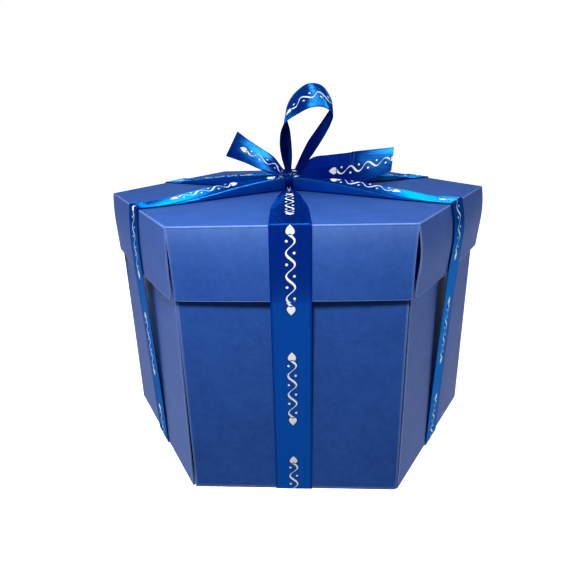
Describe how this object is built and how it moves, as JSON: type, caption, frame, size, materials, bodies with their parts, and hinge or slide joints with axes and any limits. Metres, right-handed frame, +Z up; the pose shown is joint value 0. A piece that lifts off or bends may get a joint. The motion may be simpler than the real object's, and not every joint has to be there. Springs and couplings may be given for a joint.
{
  "type": "explosion box",
  "caption": "Hexagonal paperboard gift box with a lift-off lid, nested fold-down walls, a small inner gift box and a ribbon bow.",
  "frame": {"origin": "centre of the underside, on the surface the box stands on", "axes": "+Z up, -Y out through the front side, +X towards the right corner"},
  "size_m": [0.2512, 0.2207, 0.2276],
  "materials": {
    "lid_board": "matt blue dyed paperboard",
    "outer_board": "matt blue dyed paperboard",
    "middle_board": "matt light blue paperboard",
    "inner_board": "matt pearl white paperboard",
    "gift_board": "matt light blue paperboard",
    "gift_lid_board": "matt blue dyed paperboard",
    "mat_card": "uncoated off-white card",
    "satin_ribbon": "royal blue satin with a white print"
  },
  "bodies": {
    "root": {"outer_base": "outer_board", "middle_base": "middle_board", "inner_base": "inner_board", "gift_box_body": "gift_board", "ribbon_underside": "satin_ribbon"},
    "lid": {"lid_top_panel": "lid_board", "lid_flap_front": "lid_board", "lid_flap_front_right": "lid_board", "lid_flap_back_right": "lid_board", "lid_flap_back": "lid_board", "lid_flap_back_left": "lid_board", "lid_flap_front_left": "lid_board", "ribbon_top_front": "satin_ribbon", "ribbon_top_front_right": "satin_ribbon", "ribbon_top_back_right": "satin_ribbon", "ribbon_top_back": "satin_ribbon", "ribbon_top_back_left": "satin_ribbon", "ribbon_top_front_left": "satin_ribbon", "bow_knot": "satin_ribbon", "bow_loop": "satin_ribbon", "bow_tail_left": "satin_ribbon", "bow_tail_right": "satin_ribbon"},
    "gift_lid": {"gift_box_lid": "gift_lid_board"},
    "outer_side_front": {"outer_wall_front": "outer_board", "outer_mat_front": "mat_card", "ribbon_drop_front": "satin_ribbon"},
    "outer_side_front_right": {"outer_wall_front_right": "outer_board", "outer_mat_front_right": "mat_card", "ribbon_drop_front_right": "satin_ribbon"},
    "outer_side_back_right": {"outer_wall_back_right": "outer_board", "outer_mat_back_right": "mat_card", "ribbon_drop_back_right": "satin_ribbon"},
    "outer_side_back": {"outer_wall_back": "outer_board", "outer_mat_back": "mat_card", "ribbon_drop_back": "satin_ribbon"},
    "outer_side_back_left": {"outer_wall_back_left": "outer_board", "outer_mat_back_left": "mat_card", "ribbon_drop_back_left": "satin_ribbon"},
    "outer_side_front_left": {"outer_wall_front_left": "outer_board", "outer_mat_front_left": "mat_card", "ribbon_drop_front_left": "satin_ribbon"},
    "middle_side_front": {"middle_wall_front": "middle_board", "middle_mat_front": "mat_card"},
    "middle_side_front_right": {"middle_wall_front_right": "middle_board", "middle_mat_front_right": "mat_card"},
    "middle_side_back_right": {"middle_wall_back_right": "middle_board", "middle_mat_back_right": "mat_card"},
    "middle_side_back": {"middle_wall_back": "middle_board", "middle_mat_back": "mat_card"},
    "middle_side_back_left": {"middle_wall_back_left": "middle_board", "middle_mat_back_left": "mat_card"},
    "middle_side_front_left": {"middle_wall_front_left": "middle_board", "middle_mat_front_left": "mat_card"},
    "inner_side_front": {"inner_wall_front": "inner_board"},
    "inner_side_front_right": {"inner_wall_front_right": "inner_board"},
    "inner_side_back_right": {"inner_wall_back_right": "inner_board"},
    "inner_side_back": {"inner_wall_back": "inner_board"},
    "inner_side_back_left": {"inner_wall_back_left": "inner_board"},
    "inner_side_front_left": {"inner_wall_front_left": "inner_board"}
  },
  "joints": [
    {"name": "lid_lift", "type": "slide", "parent": "root", "child": "lid", "axis": [0, 0, 1], "range_m": [0, 0.45]},
    {"name": "gift_lid_lift", "type": "slide", "parent": "root", "child": "gift_lid", "axis": [0, 0, 1], "range_m": [0, 0.05]},
    {"name": "outer_fold_front", "type": "hinge", "parent": "root", "child": "outer_side_front", "pos_m": [0, -0.10555, 0.0004], "axis": [1, 0, 0], "range_deg": [0, 90]},
    {"name": "outer_fold_front_right", "type": "hinge", "parent": "root", "child": "outer_side_front_right", "pos_m": [0.09141, -0.05278, 0.0004], "axis": [0.5, 0.866, 0], "range_deg": [0, 90]},
    {"name": "outer_fold_back_right", "type": "hinge", "parent": "root", "child": "outer_side_back_right", "pos_m": [0.09141, 0.05278, 0.0004], "axis": [-0.5, 0.866, 0], "range_deg": [0, 90]},
    {"name": "outer_fold_back", "type": "hinge", "parent": "root", "child": "outer_side_back", "pos_m": [0, 0.10555, 0.0004], "axis": [-1, 0, 0], "range_deg": [0, 90]},
    {"name": "outer_fold_back_left", "type": "hinge", "parent": "root", "child": "outer_side_back_left", "pos_m": [-0.09141, 0.05278, 0.0004], "axis": [-0.5, -0.866, 0], "range_deg": [0, 90]},
    {"name": "outer_fold_front_left", "type": "hinge", "parent": "root", "child": "outer_side_front_left", "pos_m": [-0.09141, -0.05278, 0.0004], "axis": [0.5, -0.866, 0], "range_deg": [0, 90]},
    {"name": "middle_fold_front", "type": "hinge", "parent": "root", "child": "middle_side_front", "pos_m": [0, -0.09905, 0.0019], "axis": [1, 0, 0], "range_deg": [0, 90]},
    {"name": "middle_fold_front_right", "type": "hinge", "parent": "root", "child": "middle_side_front_right", "pos_m": [0.08578, -0.04953, 0.0019], "axis": [0.5, 0.866, 0], "range_deg": [0, 90]},
    {"name": "middle_fold_back_right", "type": "hinge", "parent": "root", "child": "middle_side_back_right", "pos_m": [0.08578, 0.04953, 0.0019], "axis": [-0.5, 0.866, 0], "range_deg": [0, 90]},
    {"name": "middle_fold_back", "type": "hinge", "parent": "root", "child": "middle_side_back", "pos_m": [0, 0.09905, 0.0019], "axis": [-1, 0, 0], "range_deg": [0, 90]},
    {"name": "middle_fold_back_left", "type": "hinge", "parent": "root", "child": "middle_side_back_left", "pos_m": [-0.08578, 0.04953, 0.0019], "axis": [-0.5, -0.866, 0], "range_deg": [0, 90]},
    {"name": "middle_fold_front_left", "type": "hinge", "parent": "root", "child": "middle_side_front_left", "pos_m": [-0.08578, -0.04953, 0.0019], "axis": [0.5, -0.866, 0], "range_deg": [0, 90]},
    {"name": "inner_fold_front", "type": "hinge", "parent": "root", "child": "inner_side_front", "pos_m": [0, -0.09255, 0.0034], "axis": [1, 0, 0], "range_deg": [0, 90]},
    {"name": "inner_fold_front_right", "type": "hinge", "parent": "root", "child": "inner_side_front_right", "pos_m": [0.08015, -0.04628, 0.0034], "axis": [0.5, 0.866, 0], "range_deg": [0, 90]},
    {"name": "inner_fold_back_right", "type": "hinge", "parent": "root", "child": "inner_side_back_right", "pos_m": [0.08015, 0.04628, 0.0034], "axis": [-0.5, 0.866, 0], "range_deg": [0, 90]},
    {"name": "inner_fold_back", "type": "hinge", "parent": "root", "child": "inner_side_back", "pos_m": [0, 0.09255, 0.0034], "axis": [-1, 0, 0], "range_deg": [0, 90]},
    {"name": "inner_fold_back_left", "type": "hinge", "parent": "root", "child": "inner_side_back_left", "pos_m": [-0.08015, 0.04628, 0.0034], "axis": [-0.5, -0.866, 0], "range_deg": [0, 90]},
    {"name": "inner_fold_front_left", "type": "hinge", "parent": "root", "child": "inner_side_front_left", "pos_m": [-0.08015, -0.04628, 0.0034], "axis": [0.5, -0.866, 0], "range_deg": [0, 90]}
  ],
  "couplings": [
    {"joint": "outer_fold_front", "follows": "lid_lift", "rad_per_m": 3.49},
    {"joint": "outer_fold_front_right", "follows": "lid_lift", "rad_per_m": 3.49},
    {"joint": "outer_fold_back_right", "follows": "lid_lift", "rad_per_m": 3.49},
    {"joint": "outer_fold_back", "follows": "lid_lift", "rad_per_m": 3.49},
    {"joint": "outer_fold_back_left", "follows": "lid_lift", "rad_per_m": 3.49},
    {"joint": "outer_fold_front_left", "follows": "lid_lift", "rad_per_m": 3.49},
    {"joint": "middle_fold_front", "follows": "lid_lift", "rad_per_m": 3.49},
    {"joint": "middle_fold_front_right", "follows": "lid_lift", "rad_per_m": 3.49},
    {"joint": "middle_fold_back_right", "follows": "lid_lift", "rad_per_m": 3.49},
    {"joint": "middle_fold_back", "follows": "lid_lift", "rad_per_m": 3.49},
    {"joint": "middle_fold_back_left", "follows": "lid_lift", "rad_per_m": 3.49},
    {"joint": "middle_fold_front_left", "follows": "lid_lift", "rad_per_m": 3.49},
    {"joint": "inner_fold_front", "follows": "lid_lift", "rad_per_m": 3.49},
    {"joint": "inner_fold_front_right", "follows": "lid_lift", "rad_per_m": 3.49},
    {"joint": "inner_fold_back_right", "follows": "lid_lift", "rad_per_m": 3.49},
    {"joint": "inner_fold_back", "follows": "lid_lift", "rad_per_m": 3.49},
    {"joint": "inner_fold_back_left", "follows": "lid_lift", "rad_per_m": 3.49},
    {"joint": "inner_fold_front_left", "follows": "lid_lift", "rad_per_m": 3.49}
  ]
}
